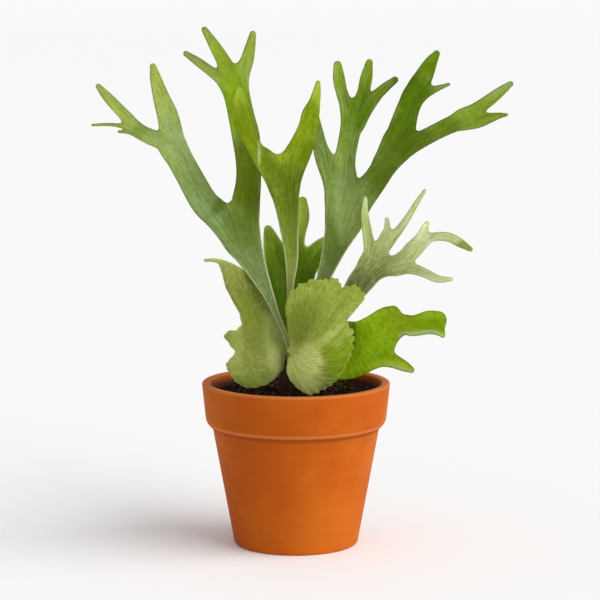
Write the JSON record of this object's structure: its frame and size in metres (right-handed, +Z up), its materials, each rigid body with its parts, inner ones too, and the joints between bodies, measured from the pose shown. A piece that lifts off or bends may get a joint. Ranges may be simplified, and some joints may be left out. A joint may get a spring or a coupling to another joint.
{
  "type": "potted staghorn fern",
  "caption": "Staghorn fern with long forked antler fronds and two rounded shield fronds, growing from a round tapered terracotta pot.",
  "frame": {"origin": "centre of the pot's base, on the surface it stands on", "axes": "+Z up along the pot's axis; -Y is the front, which the two shield fronds face; +X to the right seen from the front"},
  "size_m": [0.2916, 0.132, 0.361],
  "materials": {
    "terracotta": "unglazed terracotta, smooth, matte",
    "potting_mix": "coarse dark potting mix",
    "rhizome": "brown papery scales",
    "shield_frond": "felted, pale olive green, radiating veins",
    "fertile_frond": "leathery green with a fine pale felt and lengthwise veins",
    "young_frond": "bright green, smoother and slightly glossier"
  },
  "bodies": {
    "root": {"pot": "terracotta", "potting_mix": "potting_mix", "rhizome": "rhizome", "shield_left": "shield_frond", "shield_right": "shield_frond", "fertile_left": "fertile_frond", "fertile_middle": "fertile_frond", "fertile_back": "fertile_frond", "fertile_right": "fertile_frond", "fertile_pale": "fertile_frond", "young_frond": "young_frond"}
  },
  "joints": []
}
